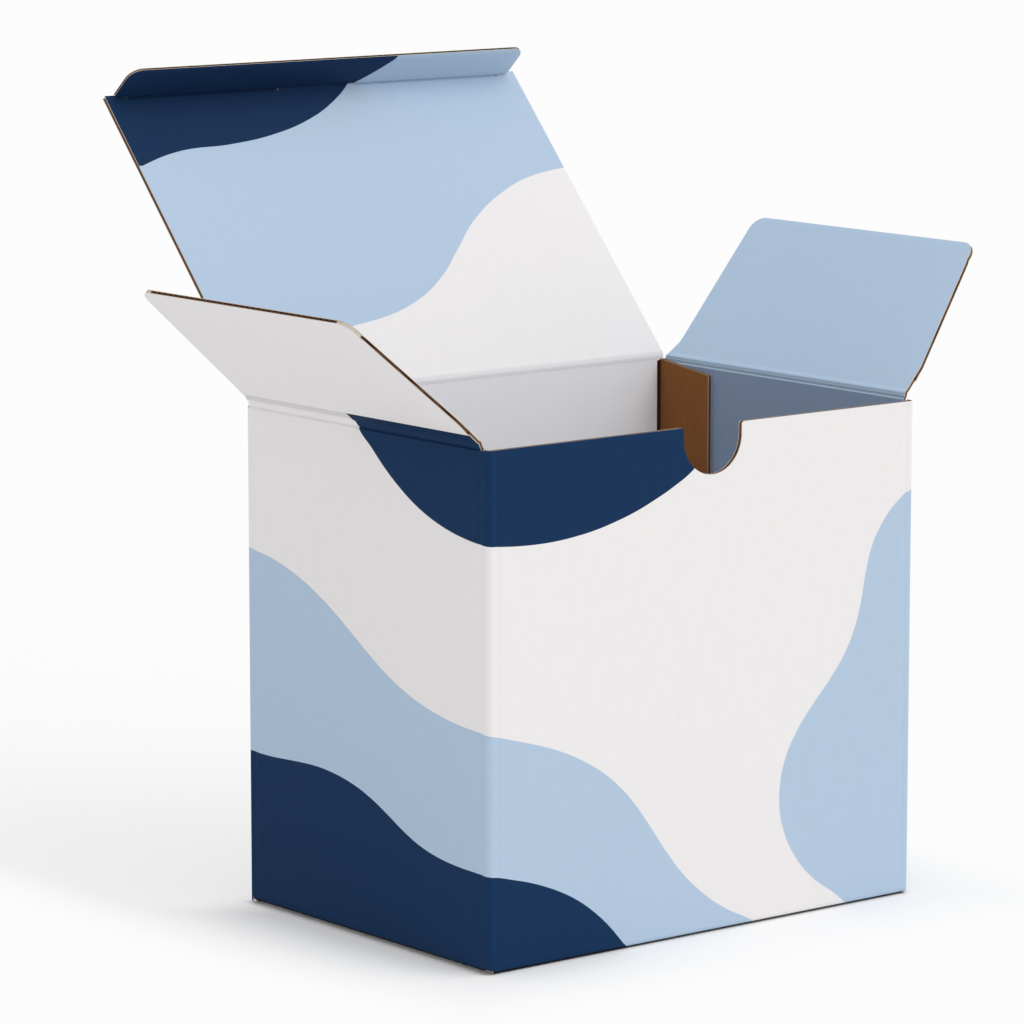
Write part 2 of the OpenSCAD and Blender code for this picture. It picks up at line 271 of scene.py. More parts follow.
# 1 on one side of a print edge and 0 on the other. The edge is a curve through points in sheet
# millimetres: its second coordinate is a function of its first.
def edgeMask(tree, axes, edge):
    places = np.array(edge["points"], float)
    low, high = places.min(0), places.max(0)
    span = high - low
    unit = addNode(tree, "ShaderNodeMapRange", {},
                   {"Value": axes[edge["along"]], "From Min": low[0], "From Max": high[0]})
    curve = addNode(tree, "ShaderNodeFloatCurve", {}, {"Value": unit.outputs[0]})
    mapping = curve.mapping
    line = mapping.curves[0]
    shares = ((places - low) / span)[np.argsort(places[:, 0])]
    for k, (x, y) in enumerate(shares):
        if k < 2:
            line.points[k].location = (x, y)
        else:
            line.points.new(x, y)
    for point in line.points:
        point.handle_type = "AUTO"
    mapping.extend = "HORIZONTAL"
    mapping.update()
    back = addNode(tree, "ShaderNodeMapRange", {"clamp": False},
                   {"Value": curve.outputs[0], "To Min": low[1], "To Max": high[1]})
    ahead = addNode(tree, "ShaderNodeMath", {"operation": "SUBTRACT"},
                    {0: axes[edge["across"]], 1: back.outputs[0]})
    ends = (0.0, 1.0) if edge["side"] == "above" else (1.0, 0.0)
    return addNode(tree, "ShaderNodeMapRange", {},
                   {"Value": ahead.outputs[0], "From Min": -inks["edge"], "From Max": inks["edge"],
                    "To Min": ends[0], "To Max": ends[1]}).outputs[0]


# What all papers share: the noise of their mottle and fibres, how the two mix, and the range of
# it that is used
paper = {"mottleDetail": 3.0, "fibreDetail": 4.0, "fibreRoughness": 0.65, "fibreShare": 0.4,
         "noiseLow": 0.3, "noiseHigh": 0.7, "ior": 1.5}


# Paper of any kind: its ground colour, printed fields over it, the mottle and fibres of its
# surface, and the flutes that show through it as faint ribs
def paperMaterial(name, look, fields=()):
    material = bpy.data.materials.new(name)
    material.use_nodes = True
    tree = material.node_tree
    tree.nodes.clear()
    sheet = addNode(tree, "ShaderNodeAttribute", {"attribute_name": "sheet"})
    split = addNode(tree, "ShaderNodeSeparateXYZ", {}, {0: sheet.outputs["Vector"]})
    axes = {"x": split.outputs[0], "y": split.outputs[1], "z": split.outputs[2]}
    colour = srgb(look["colour"])
    for field in fields:
        mask = 1.0
        for edge in field["edges"]:
            mask = addNode(tree, "ShaderNodeMath", {"operation": "MULTIPLY"},
                           {0: edgeMask(tree, axes, edge), 1: mask}).outputs[0]
        colour = addNode(tree, "ShaderNodeMix", {"data_type": "RGBA"},
                         {0: mask, 6: colour, 7: srgb(field["colour"])}).outputs[2]
    stretched = addNode(tree, "ShaderNodeMapping", {},
                        {"Vector": sheet.outputs["Vector"], "Scale": look["grain"]}).outputs[0]
    mottle = addNode(tree, "ShaderNodeTexNoise", {},
                     {"Vector": stretched, "Scale": look["mottleScale"], "Detail": paper["mottleDetail"]})
    fibres = addNode(tree, "ShaderNodeTexNoise", {},
                     {"Vector": stretched, "Scale": look["fibreScale"], "Detail": paper["fibreDetail"],
                      "Roughness": paper["fibreRoughness"]})
    both = addNode(tree, "ShaderNodeMix", {},
                   {0: paper["fibreShare"], 2: mottle.outputs[0], 3: fibres.outputs[0]}).outputs[0]
    shade = addNode(tree, "ShaderNodeMapRange", {},
                    {"Value": both, "From Min": paper["noiseLow"], "From Max": paper["noiseHigh"],
                     "To Min": look["tone"] * (1 - look["mottle"]),
                     "To Max": look["tone"] * (1 + look["mottle"])})
    ground = colour if isinstance(colour, bpy.types.NodeSocket) else colour[:3]
    shaded = addNode(tree, "ShaderNodeVectorMath", {"operation": "SCALE"},
                     {0: ground, "Scale": shade.outputs[0]})
    turn = addNode(tree, "ShaderNodeMath", {"operation": "MULTIPLY"},
                   {0: axes["x"], 1: 2 * math.pi / board["flutePitch"]})
    ribs = addNode(tree, "ShaderNodeMath", {"operation": "SINE"}, {0: turn.outputs[0]})
    fuzz = addNode(tree, "ShaderNodeMath", {"operation": "MULTIPLY"}, {0: both, 1: look["relief"]})
    relief = addNode(tree, "ShaderNodeMath", {"operation": "MULTIPLY_ADD"},
                     {0: ribs.outputs[0], 1: look["ribs"], 2: fuzz.outputs[0]})
    bump = addNode(tree, "ShaderNodeBump", {},
                   {"Strength": 1.0, "Distance": mm, "Height": relief.outputs[0]})
    shader = addNode(tree, "ShaderNodeBsdfPrincipled", {},
                     {"Base Color": shaded.outputs[0], "Normal": bump.outputs[0], "IOR": paper["ior"],
                      "Roughness": look["roughness"], "Specular IOR Level": look["specular"]})
    addNode(tree, "ShaderNodeOutputMaterial", {}, {"Surface": shader.outputs[0]})
    return material


# Inks and papers. Mottle and ribs are strong enough to show at this size and no more.
# Of the inks, the flaps' blue is the pale blue lightened as painted light, and shadedBlue is a darker blue
# painted as the shade inside the box
inks = {"navy": "#173356", "lidNavy": "#193152", "paleBlue": "#B1C5DA", "paleBlueWithPaintedLight": "#B9CFE5",
        "shadedBlue": "#8898AF", "white": "#E9E6E6", "innerWhite": "#F7F5F6", "edge": 0.06}
coated = {"colour": inks["white"], "grain": (1.0, 0.45, 1.0), "mottleScale": 0.35, "fibreScale": 2.2,
          "mottle": 0.012, "relief": 0.035, "ribs": 0.0022, "roughness": 0.62, "specular": 0.05, "tone": 1.0}
kraftLook = {"colour": "#885730", "grain": (1.0, 0.25, 1.0), "mottleScale": 0.5, "fibreScale": 3.0,
             "mottle": 0.09, "relief": 0.05, "ribs": 0.003, "roughness": 0.85, "specular": 0.1, "tone": 1.0}
cutLook = {"colour": "#CBC1B4", "grain": (1.0, 1.0, 1.0), "mottleScale": 1.5, "fibreScale": 6.0,
           "mottle": 0.10, "relief": 0.02, "ribs": 0.0, "roughness": 0.9, "specular": 0.15, "tone": 1.0}
fluteLook = {"colour": "#7E5A43", "grain": (1.0, 0.3, 1.0), "mottleScale": 1.0, "fibreScale": 4.0,
             "mottle": 0.12, "relief": 0.03, "ribs": 0.0, "roughness": 0.9, "specular": 0.15, "tone": 1.0}


# A print edge: its points, the side of it that is printed, and the axis that its curve runs along
def printEdge(points, side, along="x"):
    return {"along": along, "across": "y" if along == "x" else "x", "side": side, "points": points}


# Print edges on the outside of the walls, along the sheet and up
topWave = [(-242, 262), (-205, 250), (-177, 232), (-175.6, 196), (-173.8, 185.2), (-165.7, 178.4),
           (-158.2, 172.2), (-150.7, 167), (-143.2, 162.6), (-135.7, 159.1), (-128.1, 156.4),
           (-120.6, 154.4), (-113.1, 153), (-105.6, 152.1), (-96.5, 151.4), (-87.6, 150.7),
           (-78.8, 150.4), (-69.9, 150.6), (-61, 151.4), (-52.1, 152.7), (-43.2, 154.7), (-34.4, 157.2),
           (-25.5, 160.5), (-16.6, 164.4), (-7.7, 169.3), (0.3, 177.3), (12.3, 191.3), (30.3, 215.3)]
middleWave = [(-442, 118), (-402, 128), (-357, 143), (-312, 148), (-275, 143), (-238.5, 132.9),
              (-228.2, 131.4), (-218, 129), (-207.8, 125.7), (-197.6, 121.4), (-187.4, 116.1),
              (-177.2, 110.1), (-167, 103.9), (-156.8, 98.3), (-146.5, 93.8), (-136.3, 90.5),
              (-126.1, 88.2), (-115.9, 86.7), (-105.7, 85.9), (-96.6, 84.6), (-88.8, 82.5), (-81, 80.3),
              (-73.2, 77.9), (-65.4, 74.9), (-57.6, 71.2), (-49.8, 66.6), (-42, 60.7), (-34.2, 52.9),
              (-26.5, 43.1), (-18.7, 32.6), (-10.9, 23.5), (-3.1, 16.4), (4.7, 10.7), (12.5, 6.2),
              (20.3, 2.5), (24.3, -1), (29.3, -12), (37.3, -40), (50.3, -80)]
lowWave = [(-442, 44), (-402, 38), (-352, 42), (-302, 54), (-268, 60), (-239.5, 57.6), (-229.2, 57.3),
           (-218.9, 57.7), (-208.6, 58.2), (-198.4, 58.3), (-188.1, 57.4), (-177.8, 55.5), (-167.5, 52.3),
           (-157.2, 47.8), (-146.9, 42.9), (-136.6, 39.2), (-126.3, 37.1), (-116.1, 36.1), (-105.8, 35.7),
           (-96.6, 34.8), (-89.3, 33), (-82, 31), (-74.8, 28.5), (-67.5, 25.4), (-60.2, 21.5),
           (-52.9, 16.4), (-45.7, 10.1), (-38.4, 2.1), (-34.4, -2.4), (-29.4, -14), (-14, -50), (18, -80),
           (79, -60), (108, -16), (122, 3), (142, 17), (177, 31), (212, 40), (242, 44)]
sideWave = [(-60, 130), (-20, 95), (-1.4, 70.6), (4.6, 63.6), (13.7, 50.7), (22.8, 42.4), (31.9, 37.4),
            (41, 35), (50.1, 35.1), (59.2, 37.5), (68.3, 42.7), (77.4, 50.5), (86.5, 59.5), (95.6, 66.8),
            (104.7, 71.5), (113.8, 74.3), (122.9, 76.1), (132, 78.8), (141.1, 84.2), (150.2, 94.1),
            (152.4, 99), (154, 103), (190, 104)]
rightTop = [(-100.9, 229.9), (59.7, 200.4), (84, 172), (97, 156.8), (106, 154.8), (118, 155.6), (135, 156),
            (155, 153), (178, 145), (205, 132), (242, 118)]
outsideFields = [
    {"colour": inks["paleBlue"], "edges": [printEdge(middleWave, "below")]},
    {"colour": inks["paleBlue"], "edges": [printEdge(sideWave, "above", "y"), printEdge(rightTop, "below")]},
    {"colour": inks["navy"], "edges": [printEdge(topWave, "above")]},
    {"colour": inks["navy"], "edges": [printEdge(lowWave, "below")]},
]

# Print edges on the inside of the lid and the tuck flap, across the lid and away from its fold
lidNavy = [(-96.2, 105.5), (-76.4, 111), (-52.6, 112.5), (-32.5, 115.4), (-10.4, 122), (5.9, 130.5),
           (17.6, 139.5), (26.3, 148.4), (33.3, 158.4), (47.5, 185.8), (100.6, 259.1)]
lidWhite = [(-96.6, 20.5), (-73.6, 22), (-53.7, 23.5), (-35.7, 26.2), (-21.8, 28.5), (-4.9, 34),
            (12.4, 43.9), (25.2, 54.7), (42.8, 69.7), (60.9, 80.3), (79.4, 87.2), (100.5, 90.4)]
lidOuter = [(-98, 60), (-75, 69), (-50, 83), (-25, 103), (0, 124), (15, 139), (30, 160), (98, 300)]
lidInsideFields = [
    {"colour": inks["white"], "edges": [printEdge(lidWhite, "below")]},
    {"colour": inks["lidNavy"], "edges": [printEdge(lidNavy, "above")]},
]
lidOutsideFields = [{"colour": inks["navy"], "edges": [printEdge(lidOuter, "above")]}]

# Coated liner, printed: matt ink that lies in the paper, with faint ribs from the flutes below
outsidePrint = paperMaterial("coatedLinerPrintedOutside", coated, outsideFields)
lidInside = {**coated, "colour": inks["paleBlue"]}
lidInsidePrint = paperMaterial("coatedLinerPrintedLid", lidInside, lidInsideFields)
lidOutsidePrint = paperMaterial("coatedLinerLidOutside", coated, lidOutsideFields)
# The same print darkened as painted shade where the board is crushed: on the seat beside a side crease's
# bead, under the bottom folds for their contact shadow, and along the tuck flap's fold line
seatPrintPaintedShade = paperMaterial("coatedLinerPrintSeatPaintedShade", {**coated, "tone": 0.82}, outsideFields)
# painted shade: the print nearly black on the bottom folds' underside, for the contact shadow there
footFoldPaintedShade = paperMaterial("coatedLinerFootFoldPaintedShade", {**coated, "tone": 0.1}, outsideFields)
# painted shade: the lid's inside print darker in the middle of the tuck flap's crease, as a sharp fold's line
tuckFoldPaintedShade = paperMaterial("coatedLinerTuckFoldPaintedShade", {**lidInside, "tone": 0.72}, lidInsideFields)
# Coated liner in one flat tone: even and dull, the white a little warm, the blues cool. The flaps' blue is
# the pale blue lightened as painted light, its darker copies are painted shade in a side crease's seat, and
# the side walls' inside blue is darkened as painted shade.
whiteLiner = paperMaterial("coatedLinerWhite", coated)
innerLiner = paperMaterial("coatedLinerInnerWhite", {**coated, "colour": inks["innerWhite"]})
paleBlueWithPaintedLight = {**coated, "colour": inks["paleBlueWithPaintedLight"]}
blueLiner = paperMaterial("coatedLinerPaleBluePaintedLight", paleBlueWithPaintedLight)
# painted shade: the flaps' blue darkened in the inside seat of a side crease, with a lighter step of it
# beside
seatBluePaintedShade = paperMaterial("coatedLinerBlueSeatPaintedShade", {**paleBlueWithPaintedLight, "tone": 0.52})
seatEdgeBluePaintedShade = paperMaterial("coatedLinerBlueSeatEdgePaintedShade", {**paleBlueWithPaintedLight, "tone": 0.78})
# painted shade: the side walls' inside in a darker blue than the flaps, for the shade deep in the box
shadedLiner = paperMaterial("coatedLinerSideWallBluePaintedShade", {**coated, "colour": inks["shadedBlue"]})
# Kraft liner, bare: rough brown paper with long mottled fibres. In the glue flap's fold it is darkened nearly
# to black, painted shade for the gap there.
kraftLiner = paperMaterial("kraftLinerBare", kraftLook)
kraftFoldPaintedShade = paperMaterial("kraftLinerFoldPaintedShade", {**kraftLook, "colour": "#3A2418"})
# Cut paper: the liner's edge as a thin cream line, the fluted paper brown and darker in its cells
cutLiner = paperMaterial("linerCutEdge", cutLook)
flutedPaper = paperMaterial("flutedKraftMedium", fluteLook)
print("materials:", len(bpy.data.materials))

# The walls, with the glue flap, as one sheet. Wear: the walls' slight bow, and the shallow line
# that the crusher leaves along both sides of a corner fold, which fades out over dipEnds.
wear = {"bow": 0.35, "foldDip": 0.24, "dipAt": 4.3, "dipWidth": 1.3, "dipFoot": 4, "dipEnds": 6}
glue = {"turn": backMid + 95.8, "end": backMid + 128.5, "topZ": 186.4, "bottomZ": 6.0, "drop": 3.8}
notch = {"x": 2.0, "width": 27.3, "depth": 17.8, "lip": 1.2}
glueFlat = glue["end"] - glue["turn"] - 2 * foldR  # the glue flap's length past its fold
turnEnd = -glue["turn"] - 2 * foldR  # sheet coordinate where that fold ends
wallTops = {"leftZ": 184.5, "rightZ": 184.4, "backZ": 185.7, "sideLow": sideMid - 66.8,
            "sideHigh": sideMid + 69.6, "backLow": backMid - 97.6}
wallFeet = {"corner": 0.5, "arch": 1.7, "lowArch": 0.5, "front": 2.4, "side": 3.3, "slot": 2.4}
corners = np.array([sideMid + halfD, halfW, -halfW, -sideMid - halfD, -backMid - halfW])
# Rows and columns of the walls: even between lowZ and highZ, close by the feet, tops and folds
wallGrid = {"lowZ": 12.0, "highZ": 150.0, "rows": 14, "footRows": (0.0, 0.5, 1.0),
            "topRows": (0.0, 0.3, 0.6, 0.85, 1.0), "coreRows": (8.0, 60.0, 120.0, 160.0), "columns": 150,
            "foldReach": 7.5, "foldColumns": 51, "turnColumns": 15, "arcColumns": 36, "lipColumns": 6,
            # the start and end of the glue flap's fold, where the kraft is darkened as painted shade
            "foldShadeStart": 0.8, "foldShadeEnd": 0.4}


# Height of the walls' top along the sheet: level, lower along the creases, round in the thumb
# notch with small round lips, and falling evenly along the glue flap
def wallTop(s):
    r, lip = notch["width"] / 2, notch["lip"]
    off = np.abs(s - notch["x"])
    straightZ = topZ - notch["depth"] + r
    rounded = straightZ - np.sqrt(np.clip(r * r - off * off, 0, None))
    corner = topZ - lip + np.sqrt(np.clip(lip * lip - (off - r - lip) ** 2, 0, None))
    crease = (np.abs(s) > wallTops["sideLow"]) & (np.abs(s) < wallTops["sideHigh"])
    back = (s < -wallTops["backLow"]) & (s > -glue["turn"])
    past = -s - glue["turn"]
    flap = glue["topZ"] - glue["drop"] * (past - 2 * foldR) / glueFlat
    fold = wallTops["backZ"] + (glue["topZ"] - wallTops["backZ"]) * past / (2 * foldR)
    return np.select([past > 2 * foldR, past > 0, back, crease & (s < 0), crease, off < r, off < r + lip],
                     [flap, fold, wallTops["backZ"], wallTops["leftZ"], wallTops["rightZ"], rounded, corner],
                     topZ)


# Height of the walls' foot: where the bottom flaps' folds begin, with a small arch at each corner
def wallFoot(s):
    slot = wallFeet["slot"]
    fromCorner = np.min([np.abs(s - c) for c in corners], axis=0)
    high = np.where(np.abs(s - corners[2]) < slot, wallFeet["arch"], wallFeet["lowArch"])
    arch = wallFeet["corner"] + high * np.sqrt(np.clip(1 - (fromCorner / slot) ** 2, 0, 1))
    wide = (np.abs(s) < corners[1]) | ((s < corners[3]) & (s > corners[4]))
    flap = glue["bottomZ"] + glue["drop"] * (-s - glue["turn"] - 2 * foldR) / glueFlat
    return np.select([s < turnEnd, fromCorner < slot, wide], [flap, arch, wallFeet["front"]],
                     wallFeet["side"])


# Slots: outside, edges, fluted paper, white inside, blue inside darkened as painted shade, bare kraft, kraft
# in the fold darkened as painted shade
def makeWalls():
    g, inset = wallGrid, board["recess"]
    r, lip, x = notch["width"] / 2, notch["lip"], notch["x"]
    arc = np.radians(np.linspace(3, 177, g["arcColumns"]))
    lips = lip * (1 - np.cos(np.radians(np.linspace(0, 80, g["lipColumns"]))))
    inner = corners[1:4]
    folds = np.concatenate([np.linspace(c - g["foldReach"], c + g["foldReach"], g["foldColumns"])
                            for c in inner])
    turnIn = np.linspace(turnEnd, -glue["turn"], g["turnColumns"])
    steps = [s * wallTops[k] for s in (-1, 1) for k in ("sideLow", "sideHigh")]
    steps += [-wallTops["backLow"], -glue["turn"], x - r, x + r]
    steps += [c + d for c in inner for d in (-wallFeet["slot"], wallFeet["slot"])]
    s = columns([np.linspace(-glue["end"], corners[0], g["columns"]), folds, turnIn, x + r * np.cos(arc),
                 x - r - lip + lips, x + r + lip - lips, [x - r - lip, x + r + lip, turnEnd]],
                steps)[None, :]
    foot, top = wallFoot(s), wallTop(s)
    lowZ, highZ = g["lowZ"], g["highZ"]
    away = np.concatenate([foot + (lowZ - foot) * np.array(g["footRows"])[:, None],
                           np.linspace(lowZ, highZ, g["rows"])[1:-1, None] + 0 * s,
                           highZ + (top - highZ) * np.array(g["topRows"])[:, None]])
    along = s + 0 * away
    nearest = np.min([np.abs(np.abs(s - c) - wear["dipAt"]) for c in inner], axis=0)
    ends = (np.clip((top - away) / wear["dipEnds"], 0, 1)
            * np.clip((away - wear["dipFoot"]) / wear["dipEnds"], 0, 1))
    dip = -wear["foldDip"] * np.exp(-(nearest / wear["dipWidth"]) ** 2) * ends
    middle = (s[0, 1:] + s[0, :-1]) / 2
    inFold = (middle < g["foldShadeStart"] - glue["turn"]) & (middle > turnEnd - g["foldShadeEnd"])
    # The side walls' inside gets slot 4, a darker blue as painted shade, and the glue flap's fold slot 6,
    # kraft darkened as its shade
    inside = np.select([inFold, middle < -glue["turn"], np.abs(middle) < halfW, middle < corners[3]],
                       [6, 5, 3, 3], 4)
    insideSlots = np.tile(inside, away.shape[0] - 1)
    sheets = linersOf(along, away, 0, insideSlots, 1, 2, dip)
    fine = columns([np.arange(-glue["end"] + inset, corners[0] - inset,
                              board["flutePitch"] / board["flutePoints"])], steps)[None, :]
    cut = np.min([wallTop(fine + side) for side in (0, -inset, inset)], axis=0)
    coreRows = np.concatenate([np.array(g["coreRows"])[:, None] + 0 * fine, cut - inset])
    sheets.append(mediumOf(fine + 0 * coreRows, coreRows, 2))
    piece = makePiece("cartonWalls", sheets, wallPlace,
                      [outsidePrint, cutLiner, flutedPaper, innerLiner, shadedLiner, kraftLiner, kraftFoldPaintedShade])
    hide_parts("carton")
    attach(piece, "box")


# The two outer bottom flaps, which hook past each other, and the two inner ones glued on them
bottomFlaps = {"lockStep": 12.0, "lockSlant": 10.0, "lockX": 20.0, "gap": 0.3, "innerLength": 62.0,
               "innerCut": 30.0, "rise": 0.9, "narrow": 0.965, "bendRows": 9, "litRows": 3,
               "narrowFrom": 0.03, "flatFrom": 0.12, "flatRows": 8, "columns": 50, "innerColumns": 40}


# Place of a bottom flap: a quarter turn round the fold's centre, then flat under the carton
def bottomPlace(reach, lift, turns):
    def place(p):
        u, w, n = p[..., 0], p[..., 1], p[..., 2]
        angle = np.clip((w + 2 * foldR) / (2 * foldR), 0, 1) * np.pi / 2
        r = midR + n
        y = -reach + foldR - r * np.cos(angle) + np.clip(w, 0, None)
        z = lift + foldR - r * np.sin(angle)
        c, s = round(math.cos(turns)), round(math.sin(turns))
        return np.stack([c * u - s * y, s * u + c * y, z], -1)

    return place


# One bottom flap from its columns and its length at each of them. The bend keeps the print,
# which from litRows on is painted nearly black as the contact shadow under the fold, and past it the
# flap is narrower by the slot. footZ, middle and flip give the place of its points in the walls'
# sheet, where the print is.
def makeBottomFlap(name, u, length, place, footZ, middle, flip=1, narrow=1.0):
    def inWalls(p):
        return np.stack([flip * p[..., 0] + middle, footZ - 2 * foldR - p[..., 1], p[..., 2]], -1)

    b, inset = bottomFlaps, board["recess"]
    bend = -2 * foldR * np.linspace(1, 0, b["bendRows"])[:-1]
    share = np.concatenate([[0, b["narrowFrom"]], np.linspace(b["flatFrom"], 1, b["flatRows"])])[:, None]
    width = np.concatenate([np.ones(len(bend) + 1), np.full(len(share) - 1, narrow)])[:, None]
    away = np.concatenate([bend[:, None] + 0 * u[None, :], length[None, :] * share])
    # bend rows from litRows on get slot 4, the print painted nearly black as the shade under the fold
    runs = [0 if k < b["litRows"] else 4 if k < len(bend) else 3 for k in range(len(away) - 1)]
    topSlots = np.repeat(runs, len(u) - 1)
    along = u[None, :] * width + 0 * away
    sheets = linersOf(along, away, topSlots, 3, 1, 2)
    edge = along[:, -1:] - inset
    coreU, coreV = np.clip(along, -edge, edge), np.minimum(away, length[None, :] - inset)
    sheets.append(sheetBetween(atDepth(coreU, coreV, coreT), atDepth(coreU, coreV, -coreT), 2, 2, 2))
    piece = makePiece(name, sheets, place, [outsidePrint, cutLiner, flutedPaper, whiteLiner, footFoldPaintedShade],
                      inWalls)
    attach(piece, "box")


# The outer flaps meet along a seam with one slanted step, so that they hook past each other. The
# inner flaps' free corners are cut off at 45 degrees.
def makeBottom():
    b = bottomFlaps
    flat, slot = halfD - foldR, wallFeet["slot"]
    for name, turns, middle, mirror in (("frontBottomFlap", 0.0, 0.0, 1),
                                        ("backBottomFlap", math.pi, -backMid, -1)):
        u = columns([np.linspace(slot - halfW, halfW - slot, b["columns"]),
                     mirror * b["lockX"] + np.array([-1, 1]) * b["lockSlant"]])
        step = b["lockStep"] * np.clip((mirror * b["lockX"] - u) / b["lockSlant"], -1, 1)
        makeBottomFlap(name, u, flat + step - b["gap"] / 2, bottomPlace(halfD, 0.0, turns),
                       wallFeet["front"], middle, mirror, b["narrow"])
    side = halfD - slot
    for name, turns, middle in (("leftInnerFlap", -math.pi / 2, -sideMid),
                                ("rightInnerFlap", math.pi / 2, sideMid)):
        u = columns([np.linspace(-side, side, b["innerColumns"]),
                     [b["innerCut"] - side, side - b["innerCut"]]])
        short = np.clip(np.abs(u) - side + b["innerCut"], 0, None)
        makeBottomFlap(name, u, b["innerLength"] - foldR - short, bottomPlace(halfW, b["rise"], turns),
                       wallFeet["side"], middle)


# Crease sections: pairs of share and height, and runs of a material up to a share. The side
# creases have a round bead outside and a long seat beside it, and inside a thin bead and a seat.
sideSection = {
    "rows": 92, "skin": 0.3,
    "outer": [(0, 0.9), (0.027, 0.66), (0.049, 0.38), (0.077, 0.4), (0.115, 0.74), (0.17, 0.92), (0.22, 0.96),
              (0.27, 0.94), (0.3, 0.84), (0.33, 0.66), (0.38, 0.52), (0.462, 0.48), (0.912, 0.5),
              (0.956, 0.62), (0.984, 0.86), (1, 0.9)],
    "inner": [(0, 0.9), (0.044, 0.86), (0.077, 0.96), (0.104, 0.88), (0.126, 0.6), (0.165, 0.44),
              (0.253, 0.44), (0.286, 0.6), (0.313, 0.86), (0.341, 0.9), (1, 0.9)],
    # Outside, slot 5 on the seat is the print darkened as painted shade
    "outerRuns": [(0.54, 0), (1, 5)],
    # Inside, slot 4 is the side walls' blue darkened as painted shade, slots 6 and 7 the seat's blue darkened
    # as painted shade, and slot 3 the flaps' blue lightened as painted light
    "innerRuns": [(0.05, 4), (0.115, 3), (0.2, 6), (0.29, 7), (1, 3)],
}
lidSection = {
    "rows": 49, "skin": 0.2,
    "outer": [(0, 0.9), (0.06, 0.64), (0.12, 0.6), (0.3, 0.84), (0.5, 0.96), (0.7, 0.88), (0.85, 0.64),
              (0.93, 0.7), (1, 0.9)],
    "inner": [(0, 0.9), (0.3, 0.88), (0.5, 0.87), (0.7, 0.88), (1, 0.9)],
    "outerRuns": [(1, 0)],
    "innerRuns": [(0.5, 4), (1, 3)],
}
# The tuck's crease has slot 4 in its middle: its inside print darkened as painted shade along the fold
tuckSection = {**lidSection, "innerRuns": [(0.42, 3), (0.58, 4), (1, 3)]}

# Folds that turn. Angles are from a panel in line with its wall, outwards. The crease is the
# length of board that bends before and after the fold line, and the seat ends past it.
leftFold = {"origin": (-99.1, 0, 186.2), "along": (0, 1, 0), "away": (0, 0, 1), "out": (-1, 0, 0),
            "angle": 48.0, "crease": (-1.7, 2.8), "seatEnd": 7.4}
rightFold = {"origin": (99.1, 0, 186.2), "along": (0, 1, 0), "away": (0, 0, 1), "out": (1, 0, 0),
             "angle": 40.0, "crease": (-1.8, 2.8), "seatEnd": 7.4}
lidFold = {"origin": (0, 70.1, 188.3), "along": (1, 0, 0), "away": (0, 0, 1), "out": (0, 1, 0),
           "angle": 42.0, "crease": (-2.6, 1.8), "seatEnd": 1.8}
lidAway, lidOut = turned(lidFold)
tuckAt = 138.0
tuckFold = {"origin": np.array(lidFold["origin"]) + tuckAt * lidAway, "along": (1, 0, 0), "away": lidAway,
            "out": lidOut, "angle": -90.0, "crease": (-1.8, 1.8), "seatEnd": 1.8}


# Bakes a crease strip's transform into its mesh; the strip lies between two bodies but is not joined to them
def bendBetween(piece, fold):
    place = foldPlace(fold)
    ends = [place(np.array([0.0, w, 0.0])) * mm for w in fold["crease"]]
    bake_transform(piece)


# Dust flaps: straight shoulder, sloping front edge, two round corners. Rows are given from the
# fold, and the board keeps its whole thickness for fullFor past the crease.
dustFlap = {"length": 68.0, "front": -66.5, "back": 65.5, "creaseBack": 69.6, "shoulder": 13.0, "taper": 9.8,
            "corner": 6.0, "creaseLean": 4.1, "edge": 0.82, "nearRows": (10, 12.8, 13.6),
            "farRows": (16, 59, 14), "cornerRows": (-8, 90, 16), "columns": 40, "coreStart": 0.6,
            "coreColumns": 480, "fullFor": 2}


# Both side edges of a dust flap at a distance from its fold. The front one slopes in past the
# shoulder, and both end in a quarter circle.
def dustFlapSides(v):
    f = dustFlap
    r, lean = f["corner"], math.radians(f["taper"])
    centreV = f["length"] - r
    sloping = f["front"] + np.clip(v - f["shoulder"], 0, None) * math.tan(lean)
    centreU = (f["front"] + (f["length"] - f["shoulder"]) * math.tan(lean) + r / math.cos(lean)
               - r * math.tan(lean))
    arc = np.sqrt(np.clip(r * r - (v - centreV) ** 2, 0, None))
    front = np.where(v > centreV - r * math.sin(lean), centreU - arc, sloping)
    back = np.where(v > centreV, f["back"] - r + arc, f["back"])
    return front, back


